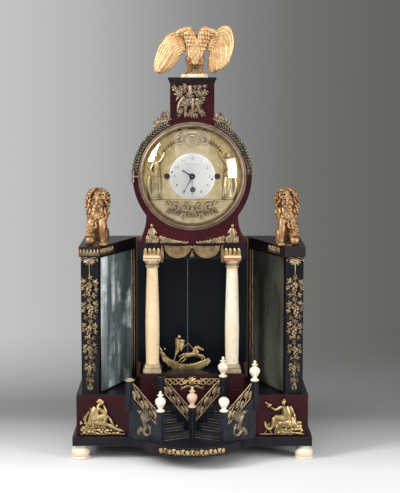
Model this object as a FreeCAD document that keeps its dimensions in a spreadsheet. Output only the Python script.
import FreeCAD, Part

import math
import os
from types import SimpleNamespace

import Sketcher

# Portico mantel clock with a visible pendulum. Millimetres, +Z up, the clock faces -Y.
# The origin is on the surface that it stands on, under the middle of the case.

# Driving dimensions
SIZES = {
    # base slab and feet
    "slab_half_width": 192.0,
    "slab_front": 42.0,
    "slab_thickness": 14.5,
    "case_back": 103.0,
    "bow_reach": 103.0,
    "bow_radius": 92.5,
    "bow_blend_radius": 20.0,
    "foot_height": 22.5,
    "foot_radius": 15.5,
    "foot_side_inset": 12.0,
    "foot_front_inset": 13.0,
    "foot_rear_inset": 16.0,
    # lower tier, plinth blocks and podium
    "tier_height": 67.0,
    "tier_half_width": 186.0,
    "tier_recess": 2.0,
    "block_front": 32.0,
    "block_beside_post": 1.5,
    "podium_half_width": 84.4,
    "podium_height": 26.5,
    "podium_board": 4.0,
    "podium_overhang": 2.0,
    # double staircase
    "newel_front": 44.0,
    "front_post_across": 50.0,
    "front_post_front": 70.0,
    "flight_across": 50.0,
    "flight_depth": 34.5,
    "riser_height": 10.75,
    "post_half_diagonal": 6.2,
    "post_cap_overhang": 1.0,
    "post_cap_height": 2.0,
    "lower_post_height": 50.0,
    "upper_post_height": 48.0,
    "railing_thickness": 1.8,
    "railing_height": 25.0,
    "railing_start": 20.0,
    "railing_rise": 45.0,
    "railing_bar": 2.4,
    "stringer_thickness": 2.4,
    # urn finials
    "urn_height": 33.0,
    "urn_body_radius": 8.5,
    "ring_cap_radius": 8.2,
    "ring_cap_height": 2.4,
    # columns
    "column_across": 65.0,
    "column_behind": 15.5,
    "base_width": 29.0,
    "base_plinth_height": 7.0,
    "base_block_width": 24.0,
    "base_block_height": 7.0,
    "shaft_height": 155.0,
    "shaft_belly_radius": 11.4,
    "echinus_radius": 10.2,
    "echinus_height": 13.5,
    "abacus_width": 27.7,
    "abacus_height": 6.0,
    "crown_height": 13.0,
    # architrave
    "architrave_half_width": 86.6,
    "architrave_front": 1.5,
    "architrave_depth": 23.5,
    "architrave_height": 24.0,
    "ceiling_thickness": 8.0,
    # wings
    "wing_outer": 177.5,
    "wing_inner_front": 150.5,
    "wing_inner_back": 88.0,
    "pilaster_front": 27.0,
    "wing_top_height": 16.0,
    "wing_top_overhang": 3.0,
    "mirror_thickness": 2.5,
    "mirror_border": 6.0,
    "mirror_stile": 15.5,
    "back_board_thickness": 15.0,
    "centre_mirror_half_width": 92.0,
    # drum block and neck
    "drum_front": 4.0,
    "drum_depth": 96.0,
    "drum_radius": 96.0,
    "drum_centre_rise": 109.5,
    "drum_bore_radius": 80.0,
    "waist_half_width": 74.0,
    "waist_rise": 46.0,
    "drum_flare": 3.2,
    "neck_half_width": 35.5,
    "neck_depth": 60.0,
    "neck_rise": 150.0,
    "neck_cornice_half_width": 38.6,
    "neck_cornice_height": 8.0,
    "neck_cornice_step": 3.0,
    # eagle on its plinth
    "eagle_plinth_width": 48.0,
    "eagle_plinth_depth": 30.0,
    "eagle_plinth_height": 6.6,
    "eagle_width": 127.0,
    "eagle_height": 77.5,
    "eagle_depth": 30.0,
    # lions
    "lion_across": 151.5,
    "lion_back": 2.0,
    "lion_height": 92.0,
    "lion_width": 40.0,
    "lion_length": 52.0,
    # dial, bezel and glass
    "mask_radius": 84.0,
    "mask_thickness": 1.5,
    "enamel_radius": 37.3,
    "enamel_thickness": 2.4,
    "enamel_hole_radius": 3.6,
    "bezel_radius": 87.0,
    "bezel_inner_radius": 79.0,
    "bezel_thickness": 8.0,
    "glass_rise": 24.0,
    "glass_thickness": 2.0,
    "running_clearance": 0.3,
    "bearing_clearance": 0.06,
    "hinge_across": 95.0,
    "hinge_knuckle_radius": 2.6,
    "hinge_pin_radius": 1.0,
    "hinge_knuckle_length": 9.0,
    # hands
    "hand_thickness": 0.7,
    "hand_gap": 0.9,
    "hour_hand_length": 20.0,
    "minute_hand_length": 33.0,
    "third_hand_length": 19.0,
    "hour_hand_width": 2.4,
    "minute_hand_width": 1.6,
    "third_hand_width": 0.8,
    "hand_boss_radius": 4.6,
    "pipe_step": 3.0,
    "arbor_radius": 1.5,
    "third_pipe_radius": 2.1,
    "hour_pipe_radius": 2.9,
    # movement
    "plate_half_width": 44.0,
    "plate_below": 64.0,
    "plate_above": 59.0,
    "plate_thickness": 2.5,
    "plate_spacing": 29.5,
    "front_plate_behind": 38.0,
    "plate_ear_height": 12.0,
    "pillar_radius": 3.0,
    "pillar_inset": 6.0,
    "winding_across": 40.5,
    "winding_below": 21.5,
    "going_across": 1.0,
    "winding_arbor_radius": 2.6,
    "winding_square": 3.2,
    "winding_square_length": 11.4,
    "ratchet_radius": 9.0,
    "ratchet_thickness": 1.8,
    "barrel_radius": 15.5,
    "barrel_length": 16.0,
    "barrel_inset": 6.0,
    "centre_wheel_radius": 15.2,
    "wheel_thickness": 1.6,
    "wheel_tooth_height": 1.6,
    "escape_wheel_radius": 14.0,
    "escape_tooth_height": 3.4,
    "small_arbor_radius": 1.0,
    "escape_below": 20.0,
    "escapement_inset": 10.8,
    # pendulum and pallets
    "pendulum_across": 7.5,
    "pendulum_behind": 32.0,
    "suspension_above": 37.5,
    "suspension_pin_radius": 1.2,
    "suspension_hub_radius": 3.4,
    "suspension_hub_length": 3.3,
    "cock_width": 10.0,
    "cock_thickness": 2.0,
    "rod_radius": 0.8,
    "bob_thickness": 5.0,
    "bob_clearance": 3.0,
    "bob_width": 83.3,
    "rod_above_bob": 15.0,
    "crutch_length": 28.0,
    "crutch_thickness": 1.6,
    "slot_half_width": 14.0,
    "slot_half_depth": 4.0,
    # gong and hammer
    "gong_radius": 66.0,
    "gong_wire": 2.6,
    "gong_behind": 78.0,
    "hammer_arm_length": 34.0,
    "hammer_head_radius": 4.4,
    "hammer_side_offset": 38.0,
    "hammer_drop": 15.0,
    # rear door
    "door_radius": 79.2,
    "door_thickness": 3.0,
    "door_hinge_across": 84.0,
    "door_strap_height": 12.0,
    # gilt mounts
    "mount_thickness": 1.8,
    "vine_length": 218.0,
    "vine_width": 29.0,
    "figure_width": 74.0,
    "figure_height": 62.0,
    "figure_thickness": 2.9,
    "spandrel_width": 70.0,
    "spandrel_height": 35.0,
    "swag_width": 45.0,
    "swag_drop": 19.0,
    "frieze_width": 92.0,
    "frieze_height": 17.0,
    "bow_strip_height": 11.0,
    "creature_height": 40.0,
    "trophy_width": 52.0,
    "trophy_height": 56.0,
    "rim_band_depth": 24.0,
    "cornice_strip_height": 9.5,
    # one overrun for every cut
    "overrun": 1.0,
}

doc = FreeCAD.newDocument("portico_clock")
sheet = doc.addObject("Spreadsheet::Sheet", "Sizes")
for row, (alias, number) in enumerate(SIZES.items(), start=1):
    sheet.set(f"A{row}", alias)
    sheet.set(f"B{row}", str(number))
    sheet.setAlias(f"B{row}", alias)
doc.recompute()


class Size(float):
    """A number that remembers the formula it came from, so that an object can be bound to the sheet."""

    def __new__(cls, number, formula):
        made = super().__new__(cls, number)
        made.formula = formula
        return made

    def joined(self, sign, other, number, swapped=False):
        first, second = formula_of(self), formula_of(other)
        if swapped:
            first, second = second, first
        return Size(number, f"({first} {sign} {second})")

    def __add__(self, other):
        return self.joined("+", other, float(self) + float(other))

    def __radd__(self, other):
        return self.joined("+", other, float(other) + float(self), swapped=True)

    def __sub__(self, other):
        return self.joined("-", other, float(self) - float(other))

    def __rsub__(self, other):
        return self.joined("-", other, float(other) - float(self), swapped=True)

    def __mul__(self, other):
        return self.joined("*", other, float(self) * float(other))

    def __rmul__(self, other):
        return self.joined("*", other, float(other) * float(self), swapped=True)

    def __truediv__(self, other):
        return self.joined("/", other, float(self) / float(other))

    def __neg__(self):
        return Size(-float(self), f"(0 - {formula_of(self)})")


def formula_of(number):
    """The text of a number in an expression."""
    return number.formula if isinstance(number, Size) else f"({float(number)!r})"


def root(number):
    """Square root, with its formula."""
    return Size(math.sqrt(number), f"sqrt({formula_of(number)})")


def direction_angle(across, depth):
    """The angle in degrees of a plan direction, with its formula."""
    formula = f"atan2({formula_of(depth)}; {formula_of(across)})"
    return Size(math.degrees(math.atan2(depth, across)), formula)


size = SimpleNamespace(**{alias: Size(sheet.get(alias), f"Sizes.{alias}") for alias in SIZES})

# Counts
STEPS = 4
POST_SIDES = 4
RAILING_BAYS = 3
CROWN_LEAVES = 4
CARVED_SIDES = 8
FOOT_SIDES = 16
URN_SIDES = 12
SHAFT_SIDES = 24
DIAL_SIDES = 40
ECHINUS_SIDES = 20
PILLARS = 4
WHEEL_SPOKES = 4
CENTRE_WHEEL_TEETH = 36
ESCAPE_WHEEL_TEETH = 30
RATCHET_TEETH = 16
FRIEZE_WAVES = 3
POINTS_PER_WAVE = 8

# Angles in degrees
FULL_TURN = 360
GONG_SWEEP = 330
QUARTER_TURN = 90
HAMMER_LEAN = 35
BOW_MOUNT_SWEEP = 68
RIM_BAND_START = 2
HOUR_ANGLE = 301.7
MINUTE_ANGLE = 208
THIRD_ANGLE = 180

# Levels and planes that several pieces share
slab_top = size.foot_height + size.slab_thickness
tier_top = slab_top + size.tier_height
block_inner = size.front_post_across + size.flight_across + size.block_beside_post
podium_top = tier_top + size.podium_height
shaft_bottom = podium_top + size.base_plinth_height + size.base_block_height
shaft_top = shaft_bottom + size.shaft_height
abacus_bottom = shaft_top + size.echinus_height
architrave_bottom = abacus_bottom + size.abacus_height
case_top = architrave_bottom + size.architrave_height
ceiling_bottom = case_top - size.ceiling_thickness
wing_top_bottom = case_top - size.wing_top_height
back_board_front = size.case_back - size.back_board_thickness
dial_height = case_top + size.drum_centre_rise
neck_top = dial_height + size.neck_rise
neck_cornice_top = neck_top + size.neck_cornice_height
bob_bottom = podium_top + size.bob_clearance
landing_top = slab_top + size.riser_height * STEPS
suspension_height = dial_height + size.suspension_above
drum_back = size.drum_front + size.drum_depth
mask_front = size.drum_front - size.mask_thickness
enamel_front = size.drum_front - size.enamel_thickness
bezel_back = mask_front - size.running_clearance
bezel_front = bezel_back - size.bezel_thickness
front_plate_back = size.front_plate_behind + size.plate_thickness
back_plate_front = front_plate_back + size.plate_spacing
back_plate_back = back_plate_front + size.plate_thickness
escapement_front = front_plate_back + size.escapement_inset


# Building blocks


def bind(thing, **formulas):
    """Binds properties to the sheet. Two underscores in a name stand for the dot of a path."""
    for name, number in formulas.items():
        thing.setExpression(name.replace("__", "."), formula_of(number))
    return thing


def place(thing, x=0, y=0, z=0):
    """Binds the place of an object."""
    return bind(thing, Placement__Base__x=x, Placement__Base__y=y, Placement__Base__z=z)


def turn(thing, angle, axis=(0, 0, 1)):
    """Turns an object about an axis through its own place and binds the angle."""
    where = thing.Placement.Base
    thing.Placement = FreeCAD.Placement(where, FreeCAD.Rotation(FreeCAD.Vector(*axis), 1))
    return bind(thing, Placement__Rotation__Angle=angle)


def box(name, x, y, z, length, width, height):
    """A block from its lowest corner."""
    made = doc.addObject("Part::Box", name)
    bind(made, Length=length, Width=width, Height=height)
    return place(made, x, y, z)


def centred_box(name, half_width, y, z, width, height):
    """A block that is as wide on the left as on the right."""
    return box(name, -half_width, y, z, half_width * 2, width, height)


def rod(name, x, y, z, radius, length, along="y"):
    """A round bar along +Y or +Z from the middle of its first end."""
    made = doc.addObject("Part::Cylinder", name)
    if along == "y":
        made.Placement = FreeCAD.Placement(FreeCAD.Vector(), FreeCAD.Rotation(FreeCAD.Vector(1, 0, 0), -90))
    bind(made, Radius=radius, Height=length)
    return place(made, x, y, z)


def cut(name, base, tool):
    made = doc.addObject("Part::Cut", name)
    made.Base = base
    made.Tool = tool
    return made


def fuse(name, pieces):
    made = doc.addObject("Part::MultiFuse", name)
    made.Shapes = pieces
    return made


def common(name, first, second):
    made = doc.addObject("Part::MultiCommon", name)
    made.Shapes = [first, second]
    return made


def group(name, pieces):
    """Separate solids kept in one object."""
    made = doc.addObject("Part::Compound", name)
    made.Links = pieces
    return made


def mirrored(name, source):
    """The same piece on the other side of the clock."""
    made = doc.addObject("Part::Mirroring", name)
    made.Source = source
    made.Normal = FreeCAD.Vector(1, 0, 0)
    return made


def both_sides(name, piece):
    return group(name, [piece, mirrored(f"{name}_mirrored", piece)])


def moved_copy(name, source, x, y, z):
    """The same piece at another place, measured from the place of the first."""
    made = doc.addObject("Part::Compound", name)
    made.Links = [source]
    return place(made, x, y, z)


def through(x, y):
    """Marks the middle point of an arc in an outline."""
    return ("through", x, y)


def scaled(shares, width, height, x=0, z=0):
    """An outline in real sizes from shares of a width and a height. A third value marks an arc's middle."""
    points = []
    for across, up, *mark in shares:
        point = (width * across + x, height * up + z)
        points.append(through(*point) if mark else point)
    return points


def draw(sketch, outline):
    """Adds a closed outline to a sketch. Every point is bound to the sheet."""
    corners = [point for point in outline if point[0] != "through"]
    arcs = {}
    for place_in_list, point in enumerate(outline):
        if point[0] == "through":
            arcs[len([p for p in outline[:place_in_list] if p[0] != "through"]) - 1] = point[1:]
    first_ends = []
    last_ends = []
    for number, start in enumerate(corners):
        end = corners[(number + 1) % len(corners)]
        a = FreeCAD.Vector(float(start[0]), float(start[1]), 0)
        b = FreeCAD.Vector(float(end[0]), float(end[1]), 0)
        if number not in arcs:
            edge = sketch.addGeometry(Part.LineSegment(a, b))
            first_ends.append((edge, 1))
            last_ends.append((edge, 2))
            continue
        middle = arcs[number]
        m = FreeCAD.Vector(float(middle[0]), float(middle[1]), 0)
        anticlockwise = (m - a).cross(b - m).z > 0
        edge = sketch.addGeometry(Part.Arc(a, m, b) if anticlockwise else Part.Arc(b, m, a))
        first_ends.append((edge, 1 if anticlockwise else 2))
        last_ends.append((edge, 2 if anticlockwise else 1))
        mark = sketch.addGeometry(Part.Point(m), True)
        sketch.addConstraint(Sketcher.Constraint("PointOnObject", mark, 1, edge))
        pin(sketch, mark, 1, middle)
    for number, last in enumerate(last_ends):
        sketch.addConstraint(
            Sketcher.Constraint("Coincident", *last, *first_ends[(number + 1) % len(corners)]),
        )
    for number, first in enumerate(first_ends):
        pin(sketch, *first, corners[number])


def pin(sketch, edge, end, point):
    """Holds a point of a sketch at two bound distances from its origin."""
    for kind, number in (("DistanceX", point[0]), ("DistanceY", point[1])):
        index = sketch.addConstraint(Sketcher.Constraint(kind, edge, end, float(number)))
        sketch.setExpression(f"Constraints[{index}]", formula_of(number))


def draw_circle(sketch, x, y, radius):
    """Adds a round hole to a sketch."""
    edge = sketch.addGeometry(
        Part.Circle(FreeCAD.Vector(float(x), float(y), 0), FreeCAD.Vector(0, 0, 1), float(radius)),
    )
    pin(sketch, edge, 3, (x, y))
    index = sketch.addConstraint(Sketcher.Constraint("Radius", edge, float(radius)))
    sketch.setExpression(f"Constraints[{index}]", formula_of(radius))


def sketched_body(name, role, outlines, holes=()):
    """A body with a sketch of closed outlines and round holes on one of its own planes."""
    body = doc.addObject("PartDesign::Body", name)
    sketch = body.newObject("Sketcher::SketchObject", f"{name}_outline")
    plane = next(feature for feature in body.Origin.OriginFeatures if feature.Role == role)
    sketch.AttachmentSupport = [(plane, "")]
    sketch.MapMode = "FlatFace"
    for outline in outlines:
        draw(sketch, outline)
    for hole in holes:
        draw_circle(sketch, *hole)
    return body, sketch


def padded(name, role, outlines, thickness, holes=()):
    body, sketch = sketched_body(name, role, outlines, holes)
    pad = body.newObject("PartDesign::Pad", f"{name}_pad")
    pad.Profile = sketch
    bind(pad, Length=thickness)
    return body


def front_plate_of(name, outlines, back, thickness, holes=()):
    """A flat piece that faces the front: outlines in X and Z, thickness from its back towards the front."""
    return place(padded(name, "XZ_Plane", outlines, thickness, holes), 0, back, 0)


def plan_piece(name, outline, bottom, height):
    """A piece with one plan outline, standing on a level."""
    return place(padded(name, "XY_Plane", [outline], height), 0, 0, bottom)


def scripted(name, shape):
    """A carved piece whose form neither sketches nor primitives fit."""
    made = doc.addObject("Part::Feature", name)
    made.Shape = shape
    return made


def ring_section(x, y, z, half_width, half_depth, sides, facing):
    """The corners of one closed section of a carved form, flat along Z or Y."""
    points = []
    for side in range(sides):
        angle = 2 * math.pi * side / sides
        wide = half_width * math.cos(angle)
        deep = half_depth * math.sin(angle)
        points.append(
            FreeCAD.Vector(x + wide, y + deep, z) if facing == "z" else FreeCAD.Vector(x + wide, y, z + deep),
        )
    return points


def flat_face(*corners):
    return Part.Face(Part.makePolygon([*corners, corners[0]]))


def closed_solid(faces):
    solid = Part.Solid(Part.Shell(faces))
    if solid.Volume < 0:
        solid.reverse()
    return solid


def faceted(name, outline, sides, axis="z"):
    """A lathe-turned piece in flat facets. The outline holds radius and place along the axis."""
    turns = [2 * math.pi * side / sides for side in range(sides)]
    rings = []
    for radius, along in outline:
        flat = [(radius * math.cos(angle), radius * math.sin(angle)) for angle in (turns if radius else [0])]
        rings.append(
            [FreeCAD.Vector(a, b, along) if axis == "z" else FreeCAD.Vector(a, along, -b) for a, b in flat],
        )
    faces = []
    for lower, upper in zip(rings, rings[1:] + rings[:1]):
        if len(lower) == 1 and len(upper) == 1:
            continue
        for side in range(sides):
            following = (side + 1) % sides
            corners = [lower[side % len(lower)], lower[following % len(lower)]]
            corners += [upper[following % len(upper)], upper[side % len(upper)]]
            distinct = [corner for at, corner in enumerate(corners) if corner != corners[at - 1]]
            faces.append(flat_face(*distinct))
    return scripted(name, closed_solid(faces))


def carved(section_shares, width, depth, height, facing="z"):
    """A carved form with flat facets: shares of width, depth and height for the middle and the half sizes."""
    rings = []
    for x, y, z, half_width, half_depth in section_shares:
        second = depth if facing == "z" else height
        middle = (x * width, y * depth, z * height)
        rings.append(ring_section(*middle, half_width * width, half_depth * second, CARVED_SIDES, facing))
    faces = [flat_face(*rings[0]), flat_face(*rings[-1])]
    for lower, upper in zip(rings, rings[1:]):
        for side in range(CARVED_SIDES):
            following = (side + 1) % CARVED_SIDES
            faces.append(flat_face(lower[side], lower[following], upper[following]))
            faces.append(flat_face(lower[side], upper[following], upper[side]))
    return closed_solid(faces)


def mount_plate(name, shares, width, height, x, back, bottom, thickness):
    """A flat cut-out mount that faces the front, drawn in shares of its width and height."""
    return front_plate_of(name, [scaled(shares, width, height, x, bottom)], back, thickness)


def plate_from_shares(outline_shares, width, height, thickness):
    """A flat cut-out facing the front, from shares of its width and height, its back on Y zero."""
    points = [FreeCAD.Vector(x * width, 0, z * height) for x, z in outline_shares]
    face = Part.Face(Part.makePolygon(points + points[:1]))
    return face.extrude(FreeCAD.Vector(0, -thickness, 0))


# Feet and base slab


FOOT_PROFILE_SHARES = [
    (0, 0),
    (1, 0),
    (1, 0.15),
    (0.84, 0.2),
    (0.93, 0.4),
    (0.9, 0.62),
    (0.61, 0.85),
    (0.61, 1),
    (0, 1),
]


def bun_feet():
    outline = scaled(FOOT_PROFILE_SHARES, size.foot_radius, size.foot_height)
    front = size.foot_front_inset - size.slab_front
    back = size.case_back - size.foot_rear_inset
    foot = place(
        faceted("front_foot", outline, FOOT_SIDES),
        size.slab_half_width - size.foot_side_inset,
        front,
        0,
    )
    rear = moved_copy("rear_foot", foot, 0, back - front, 0)
    pair = group("right_feet", [foot, rear])
    return group("bun_feet", [foot, rear, mirrored("left_feet", pair)])


def bow_outline(reach, radius, front, half_width, back):
    """Plan of a slab with a bow in its front, blended into the straight front on both sides."""
    blend = size.bow_blend_radius
    bow_centre = radius - reach
    blend_y = -front - blend
    span = radius + blend
    blend_x = root(span * span - (bow_centre - blend_y) * (bow_centre - blend_y))
    share = radius / span
    join_x = blend_x * share
    join_y = bow_centre + (blend_y - bow_centre) * share
    chord = root((blend_x - join_x) * (blend_x - join_x) + (-front - join_y) * (-front - join_y))
    middle_x = (blend_x + join_x) / 2
    middle_y = (join_y - front) / 2
    drop = root(blend * blend - chord * chord / 4)
    aside_x = (middle_x - blend_x) / drop
    aside_y = (middle_y - blend_y) / drop
    via_x = blend_x + aside_x * blend
    via_y = blend_y + aside_y * blend
    return [
        (-half_width, back),
        (-half_width, -front),
        (-blend_x, -front),
        through(-via_x, via_y),
        (-join_x, join_y),
        through(0, -reach),
        (join_x, join_y),
        through(via_x, via_y),
        (blend_x, -front),
        (half_width, -front),
        (half_width, back),
    ]


def base_slab():
    outline = bow_outline(
        size.bow_reach,
        size.bow_radius,
        size.slab_front,
        size.slab_half_width,
        size.case_back,
    )
    return plan_piece("base_slab", outline, size.foot_height, size.slab_thickness)


# Lower tier, plinth blocks and podium


def lower_tier():
    return centred_box(
        "lower_tier",
        size.tier_half_width,
        -size.tier_recess,
        slab_top,
        size.case_back + size.tier_recess,
        size.tier_height,
    )


def plinth_block():
    return box(
        "right_plinth_block",
        block_inner,
        -size.block_front,
        slab_top,
        size.tier_half_width - block_inner,
        size.block_front - size.tier_recess,
        size.tier_height,
    )


def podium():
    body_height = size.podium_height - size.podium_board
    core = centred_box("podium_core", size.podium_half_width, 0, tier_top, back_board_front, body_height)
    board = centred_box(
        "podium_top_board",
        size.podium_half_width + size.podium_overhang,
        -size.podium_overhang,
        tier_top + body_height,
        back_board_front + size.podium_overhang,
        size.podium_board,
    )
    return fuse("podium", [core, board])


# Double staircase. The flights run back and outwards from the newel.


def flight_point(across, front, step):
    """A plan point of the right flight, a number of treads up from its foot."""
    share = step / STEPS
    return (size.flight_across * share + across, size.flight_depth * share - front)


def inner_point(step):
    return flight_point(0, size.newel_front, step)


def outer_point(step):
    return flight_point(size.front_post_across, size.front_post_front, step)


def stair_post(name, point, bottom, height):
    shaft = doc.addObject("Part::Prism", f"{name}_shaft")
    shaft.Polygon = POST_SIDES
    bind(shaft, Circumradius=size.post_half_diagonal, Height=height)
    place(shaft, point[0], point[1], bottom)
    cap = doc.addObject("Part::Prism", f"{name}_cap")
    cap.Polygon = POST_SIDES
    bind(cap, Circumradius=size.post_half_diagonal + size.post_cap_overhang, Height=size.post_cap_height)
    place(cap, point[0], point[1], bottom + height - size.post_cap_height)
    return fuse(name, [shaft, cap])


def stair_posts(block):
    newel = stair_post("newel_post", inner_point(0), slab_top, size.lower_post_height)
    front = stair_post("front_post", outer_point(0), slab_top, size.lower_post_height)
    inner = stair_post("inner_upper_post", inner_point(STEPS), landing_top, size.upper_post_height)
    outer = stair_post("outer_upper_post_blank", outer_point(STEPS), landing_top, size.upper_post_height)
    scribed = cut("outer_upper_post", outer, block)
    right = group("right_stair_posts", [front, inner, scribed])
    return group("stair_posts", [newel, right, mirrored("left_stair_posts", right)]), right, newel


def stringer(start, height_from, height_to):
    """The closed side panel of a flight, its face on the line of the posts."""
    length = root(size.flight_across * size.flight_across + size.flight_depth * size.flight_depth)
    outline = [(0, slab_top), (length, slab_top), (length, height_to), (0, height_from)]
    panel = padded("stringer_panel", "XZ_Plane", [outline], size.stringer_thickness)
    turn(panel, direction_angle(size.flight_across, size.flight_depth))
    return place(panel, start[0], start[1], 0)


def stair_flights(right_posts, newel):
    steps = []
    for step in range(STEPS):
        outline = [inner_point(step), outer_point(step), outer_point(STEPS), inner_point(STEPS)]
        steps.append(
            plan_piece(f"step_{step + 1}", outline, slab_top + size.riser_height * step, size.riser_height),
        )
    landing_outline = [
        (0, inner_point(STEPS)[1]),
        inner_point(STEPS),
        outer_point(STEPS),
        (block_inner, outer_point(STEPS)[1]),
        (block_inner, -size.tier_recess),
        (0, -size.tier_recess),
    ]
    landing = plan_piece("landing", landing_outline, slab_top, landing_top - slab_top)
    start_height = slab_top + size.railing_start
    side = stringer(outer_point(0), start_height, start_height + size.railing_rise)
    blank = fuse("right_flight_blank", steps + [landing, side])
    notched = cut("right_flight_notched", blank, group("right_flight_posts", [right_posts, newel]))
    flight = cut("right_flight", notched, doc.getObject("right_plinth_block"))
    return both_sides("stair_flights", flight)


# Railings: a rising frame of two thin bars with pierced leaf scrolls between them.
# Each bay has a big curl, open on both sides, and a small eye in its root. Shares are of one bay.

BAY_OPENING_SHARES = [
    [
        (0.03, 0.1),
        (0.28, 0.2),
        (0.5, 0.1),
        (0.4, 0.42),
        (0.24, 0.58),
        (0.03, 0.62),
    ],
    [
        (0.03, 0.72),
        (0.36, 0.66),
        (0.54, 0.42),
        (0.62, 0.1),
        (0.95, 0.1),
        (0.76, 0.36),
        (0.78, 0.6),
        (0.95, 0.92),
        (0.03, 0.92),
    ],
    [
        (0.97, 0.26),
        (0.85, 0.44),
        (0.97, 0.72),
    ],
]


def railing(name, start):
    """A pierced panel that rises with the flight, between two posts."""
    run = root(size.flight_across * size.flight_across + size.flight_depth * size.flight_depth)
    bottom = slab_top + size.railing_start
    slope = size.railing_rise / run
    first = size.post_half_diagonal
    last = run - size.post_half_diagonal
    height = size.railing_height

    def rising(along, up):
        return (along, slope * along + bottom + up)

    frame = [rising(first, 0), rising(last, 0), rising(last, height), rising(first, height)]
    bay = (last - first - size.railing_bar) / RAILING_BAYS
    openings = []
    for number in range(RAILING_BAYS):
        left = first + bay * number + size.railing_bar
        width = bay - size.railing_bar
        for shares in BAY_OPENING_SHARES:
            openings.append([rising(*point) for point in scaled(shares, width, height, left)])
    panel = padded(name, "XZ_Plane", [frame] + openings, size.railing_thickness)
    turn(panel, direction_angle(size.flight_across, size.flight_depth))
    return place(panel, start[0], start[1], 0)


def inner_railings(right_posts, newel):
    panel = cut("right_inner_railing", railing("inner_railing_blank", inner_point(0)), newel)
    return both_sides("inner_railings", cut("right_inner_railing_fitted", panel, right_posts))


def outer_railings(right_posts):
    return both_sides(
        "outer_railings",
        cut("right_outer_railing", railing("outer_railing_blank", outer_point(0)), right_posts),
    )


# Urn finials. Two of seven are lost, one has lost its tip, and one lost urn has left its ring.


URN_LOWER_SHARES = [
    (0, 0),
    (0.8, 0),
    (0.8, 0.07),
    (0.42, 0.14),
    (0.5, 0.22),
    (0.9, 0.36),
    (1, 0.48),
    (0.84, 0.6),
    (0.42, 0.68),
]
URN_BROKEN_SHARES = [(0, 0.7)]
URN_CAP_SHARES = [
    (0.34, 0.74),
    (0.6, 0.78),
    (0.2, 0.84),
    (0.3, 0.9),
    (0, 1),
]


def urn(name, point, level, side, whole=True):
    shares = URN_LOWER_SHARES + (URN_CAP_SHARES if whole else URN_BROKEN_SHARES)
    outline = scaled(shares, size.urn_body_radius, size.urn_height)
    return place(faceted(name, outline, URN_SIDES), point[0] * side, point[1], level)


def urn_finials():
    lower_level = slab_top + size.lower_post_height
    upper_level = landing_top + size.upper_post_height
    ring = rod(
        "ring_cap",
        -outer_point(STEPS)[0],
        outer_point(STEPS)[1],
        upper_level,
        size.ring_cap_radius,
        size.ring_cap_height,
        "z",
    )
    urns = [
        urn("newel_urn", inner_point(0), lower_level, 1),
        urn("left_front_urn", outer_point(0), lower_level, -1),
        urn("right_front_urn", outer_point(0), lower_level, 1, whole=False),
        urn("right_inner_urn", inner_point(STEPS), upper_level, 1),
        urn("right_outer_urn", outer_point(STEPS), upper_level, 1),
    ]
    return group("urn_finials", urns + [ring])


# Columns


def square_block(name, width, bottom, height):
    half = width / 2
    return box(name, size.column_across - half, size.column_behind - half, bottom, width, width, height)


SHAFT_PROFILE_SHARES = [(0, 0), (0.92, 0), (0.98, 0.2), (1, 0.4), (0.93, 0.7), (0.79, 1), (0, 1)]
ECHINUS_PROFILE_SHARES = [
    (0, 0),
    (0.95, 0),
    (0.95, 0.16),
    (0.88, 0.24),
    (1, 0.72),
    (1, 1),
    (0, 1),
]
CROWN_LEAF_SHARES = [(0, 0.62), (0.24, 0.88), (0.5, 1), (0.76, 0.88)]


def column_shafts():
    outline = scaled(SHAFT_PROFILE_SHARES, size.shaft_belly_radius, size.shaft_height)
    shaft = place(
        faceted("right_shaft", outline, SHAFT_SIDES),
        size.column_across,
        size.column_behind,
        shaft_bottom,
    )
    return both_sides("column_shafts", shaft)


def column_bases():
    plinth = square_block("base_plinth", size.base_width, podium_top, size.base_plinth_height)
    level = podium_top + size.base_plinth_height
    block = square_block("base_block", size.base_block_width, level, size.base_block_height)
    return both_sides("column_bases", fuse("right_base", [plinth, block]))


def crown_outline():
    """A row of pointed leaves that stands over the abacus."""
    half = size.abacus_width / 2
    leaf = size.abacus_width / CROWN_LEAVES
    left = size.column_across - half
    outline = [(size.column_across + half, architrave_bottom), (left, architrave_bottom)]
    for number in range(CROWN_LEAVES):
        outline += scaled(CROWN_LEAF_SHARES, leaf, size.crown_height, left + leaf * number, architrave_bottom)
    last = CROWN_LEAF_SHARES[0][1]
    outline.append((size.column_across + half, architrave_bottom + size.crown_height * last))
    return outline


def column_capitals():
    outline = scaled(ECHINUS_PROFILE_SHARES, size.echinus_radius, size.echinus_height)
    echinus = place(
        faceted("echinus", outline, ECHINUS_SIDES),
        size.column_across,
        size.column_behind,
        shaft_top,
    )
    abacus = square_block("abacus", size.abacus_width, abacus_bottom, size.abacus_height)
    capital = fuse("right_capital", [echinus, abacus])
    crown = front_plate_of("right_crown", [crown_outline()], size.architrave_front, size.mount_thickness)
    return both_sides("column_capitals", group("right_capital_and_crown", [capital, crown]))


# Architrave, with the ceiling board behind it


def pendulum_slot(name, bottom, height):
    return box(
        name,
        -size.pendulum_across - size.slot_half_width,
        size.pendulum_behind - size.slot_half_depth,
        bottom - size.overrun,
        size.slot_half_width * 2,
        size.slot_half_depth * 2,
        height + size.overrun * 2,
    )


def architrave():
    beam = centred_box(
        "architrave_beam",
        size.architrave_half_width,
        size.architrave_front,
        architrave_bottom,
        size.architrave_depth,
        size.architrave_height,
    )
    beam_back = size.architrave_front + size.architrave_depth
    ceiling = centred_box(
        "ceiling_board",
        size.architrave_half_width,
        beam_back,
        ceiling_bottom,
        back_board_front - beam_back,
        size.ceiling_thickness,
    )
    blank = fuse("architrave_blank", [beam, ceiling])
    return cut("architrave", blank, pendulum_slot("ceiling_slot", ceiling_bottom, size.ceiling_thickness))


# Wings: pilaster, outer side and slanted mirror wall as one carcass


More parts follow.
